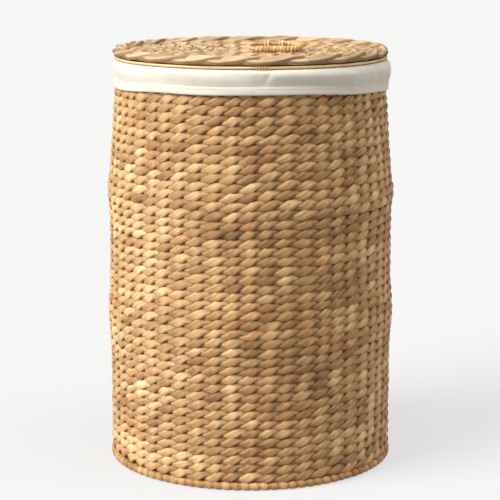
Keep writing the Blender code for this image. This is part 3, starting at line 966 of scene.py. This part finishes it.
SLACK = Drift(31, 0.0011, 16, (1, 14), (40.0, 160.0))  # soft creases that run round the cuff
PULLS = Drift(32, 0.0004, 14, (16, 60), (0.0, 60.0))  # fine gathers that run down it
HEM_WAVE = Drift(33, 0.0008, 9, (1, 12), (0.0, 1.0))


def bump_at(angle, centre, spread):
    """1 near an angle in degrees from the front, falling to 0."""
    away = (angle - math.radians(centre) + math.pi) % TAU - math.pi
    return np.exp(-((away / math.radians(spread)) ** 2))


def hem_level(angle):
    """How much higher or lower than its node the hem lies; the cuff sits askew on the rim."""
    return (0.0045 * bump_at(angle, 0.0, 55.0) - 0.0048 * bump_at(angle, 90.0, 50.0)
            + HEM_WAVE.at(angle, 0.0))


def cuff_shift(angle, radius, z):
    """Slack, gathers and one crease at the front; the part inside the rim lies still."""
    fold = CUFF[1].z - 0.010
    loose = np.clip((z - HEM[0].z) / 0.012, 0.0, 1.0) * np.clip((CUFF[1].z - z) / 0.010, 0.0, 1.0)
    loose = loose * np.clip((radius - 0.186) / 0.006, 0.0, 1.0)
    right = 0.6 + 1.1 * bump_at(angle, 42.0, 38.0)
    out = loose * (SLACK.at(angle, z) * right + PULLS.at(angle, z))
    crease = bump_at(angle - 2.2 * (z - fold), 7.0, 1.1) - 0.6 * bump_at(angle, 10.5, 2.4)
    out = out - 0.0016 * crease * loose * np.clip((z - fold + 0.016) / 0.014, 0.0, 1.0)
    out = out + loose * (0.0012 * bump_at(angle, 80.0, 45.0) - 0.0014 * bump_at(angle, -80.0, 50.0))
    low = np.clip((CUFF[1].z - z) / 0.03, 0.0, 1.0)
    return out, hem_level(angle) * low


def liner_cuff():
    """The cuff from inside the rim over the fold to the hem, and the hem turned over it."""
    outer = HEM[1].x
    top = CUFF[1].z - CLOTH / 2
    inner = LINER[1].x - CLOTH
    profile = line_through([
        (inner, top - CUFF_INSIDE), (inner + 0.0004, top - 0.009), (inner + 0.0020, top - 0.0025),
        (inner + 0.0065, top - 0.0006), (outer - 0.0078, top), (outer - 0.0022, top - 0.0011),
        (outer + 0.0008, top - 0.0040), (outer + 0.0020, top - 0.0085),
        (outer + 0.0018, top - 0.0145), (outer + 0.0006, top - 0.0200),
        (outer - 0.0008, HEM[1].z), (outer - 0.0009, HEM[1].z - 0.004),
    ], 60)
    cuff = cloth_piece("liner_fold", turned_sheet(profile, cuff_shift), CLOTH)
    profile = line_through([
        (outer - 0.0018, HEM[1].z + 0.0014), (outer - 0.0010, HEM[1].z + 0.0004),
        (outer - 0.0002, HEM[1].z - 0.0020), (outer + 0.0001, HEM[0].z + 0.0045),
        (outer, HEM[0].z + 0.0008), (outer - 0.0010, HEM[0].z + 0.0002),
        (outer - 0.0016, HEM[0].z + 0.0020),
    ], 16)
    hem = cloth_piece("liner_hem_band", turned_sheet(profile, cuff_shift), CLOTH)
    stitches = hem_stitches(outer)
    finish_piece(cuff, "liner", "cotton_cloth", "liner_cuff")
    finish_piece(hem, "liner", "cotton_cloth", "liner_hem")
    finish_piece(stitches, "liner", "cotton_cloth")


def hem_stitches(outer):
    """The row of stitches that holds the hem, just under its fold."""
    tubes = Tubes()
    for k in range(HEM_STITCHES):
        angle = TAU / HEM_STITCHES * (k + np.linspace(-0.34, 0.34, 5))
        out = outward(angle)
        z = HEM[1].z - 0.0024 + hem_level(angle) * 0.92
        lift = 0.0004 + 0.0003 * np.cos(np.linspace(-1.5, 1.5, 5))
        centres = out * (outer + lift)[:, None] + UP * z[:, None]
        tubes.add(round_rings(centres, 0.00022, 5, UP[0]), False, girth=0.002)
    return tubes.build("hem_stitches", THREAD)


FOLDS = Drift(34, 0.0016, 10, (5, 30), (-6.0, 6.0))  # that hang down the bag's wall
RUMPLES = Drift(35, 0.0005, 8, (1, 6), (8.0, 40.0))  # of its floor


def liner_bag():
    """The bag's wall, which hangs from the cuff, and its floor, which lies on the base."""
    low, high = LINER
    radius = high.x - CLOTH
    floor_z = LINER_BASE[1].z

    def hang(angle, r, z):
        height = np.clip((z - low.z) / (high.z - low.z), 0.0, 1.0)
        free = np.sin(math.pi * height) ** 0.7
        fold = np.abs(FOLDS.at(angle, z)) * free * 1.6
        side_seam = bump_at(angle, 180.0, 0.9) * 0.0010
        return -fold - side_seam * (height < 0.98), 0.0 * angle

    profile = np.stack([np.full(70, radius), np.linspace(high.z, low.z, 70)], 1)
    wall = cloth_piece("liner_side", turned_sheet(profile, hang, 360), CLOTH)

    def rumple(angle, r, z):
        away = np.clip((radius - r) / 0.02, 0.0, 1.0)
        return 0.0 * angle, away * RUMPLES.at(angle, r * 4.0) * np.clip(r / 0.05, 0.0, 1.0)

    reach = np.linspace(radius, 0.0008, 40)
    level = (LINER_BASE[0].z + floor_z) / 2
    profile = np.stack([reach, np.full(40, level)], 1)
    base = cloth_piece("liner_floor", turned_sheet(profile, rumple, 120), CLOTH * 0.8)
    finish_piece(wall, "liner", "cotton_cloth", "liner_wall")
    finish_piece(base, "liner", "cotton_cloth", "liner_base")


wall_courses()
cage_wires()
borders()
lid_courses()
lid_rope()
lid_middle()
lid_rod()
handle_cane()
handle_winding()
handle_ties()
base_weave()
base_wires()
liner_cuff()
liner_bag()


# Camera, light and floor --------------------------------------------------------------------


FLOOR_SHADE = 0.20  # its own colour
FLOOR_GLOW = 0.595  # as the camera sees it, so that shadows stay faint
FLOOR_BOUNCE = 0.24  # as it lights the basket
AMBIENT = 0.16
WARM_FILL = (1.0, 0.88, 0.72, 1.0)  # light that has bounced about among pale, warm walls
# Each light's degrees right of the front and above the floor, strength and degrees across
LIGHTS = {
    "key": (-62.0, 33.0, 4.6, 42.0),
    "top": (20.0, 80.0, 1.9, 50.0),
    "edge": (84.0, 24.0, 0.75, 40.0),
}


def floor():
    mesh = bpy.data.meshes.new("floor")
    reach = 30.0
    corners = [(-reach, -reach, 0), (reach, -reach, 0), (reach, reach, 0), (-reach, reach, 0)]
    mesh.from_pydata(corners, [], [(0, 1, 2, 3)])
    made = bpy.data.objects.new("floor", mesh)
    bpy.context.collection.objects.link(made)
    material, tree, shader = start_material("pale_floor", 0.9, 0.1)
    shader.inputs["Base Color"].default_value = grey(FLOOR_SHADE)
    shader.inputs["Emission Color"].default_value = grey(1.0)
    seen = add_node(tree, "ShaderNodeLightPath").outputs["Is Camera Ray"]
    glow = add_node(tree, "ShaderNodeMapRange", {"Value": seen, "To Min": FLOOR_BOUNCE,
                                                 "To Max": FLOOR_GLOW})
    tree.links.new(glow.outputs[0], shader.inputs["Emission Strength"])
    material.cycles.emission_sampling = "NONE"
    mesh.materials.append(material)


def far_light(name, azimuth, elevation, strength, spread):
    """A distant, soft-edged light."""
    data = bpy.data.lights.new(name, "SUN")
    data.energy = strength
    data.angle = math.radians(spread)
    made = bpy.data.objects.new(name, data)
    turn, climb = math.radians(azimuth), math.radians(elevation)
    place = Vector((math.sin(turn) * math.cos(climb), -math.cos(turn) * math.cos(climb),
                    math.sin(climb)))
    made.rotation_euler = (-place).to_track_quat("-Z", "Y").to_euler()
    bpy.context.collection.objects.link(made)


def studio():
    world = bpy.data.worlds.new("studio")
    bpy.context.scene.world = world
    world.use_nodes = True
    background = world.node_tree.nodes["Background"]
    background.inputs["Color"].default_value = WARM_FILL
    background.inputs["Strength"].default_value = AMBIENT
    for name, sizes in LIGHTS.items():
        far_light(name, *sizes)


CAMERA_PLACE = (-0.0006, -2.578, 0.787)
CAMERA_PITCH = math.radians(10.81)
CAMERA_LENS = 132.1


def camera():
    data = bpy.data.cameras.new("camera")
    data.lens = CAMERA_LENS
    data.sensor_width = 36.0
    made = bpy.data.objects.new("camera", data)
    made.location = CAMERA_PLACE
    made.rotation_euler = (math.pi / 2 - CAMERA_PITCH, 0.0, 0.0)
    bpy.context.collection.objects.link(made)
    bpy.context.scene.camera = made
    bpy.context.scene.view_settings.view_transform = "Standard"


floor()
studio()
camera()
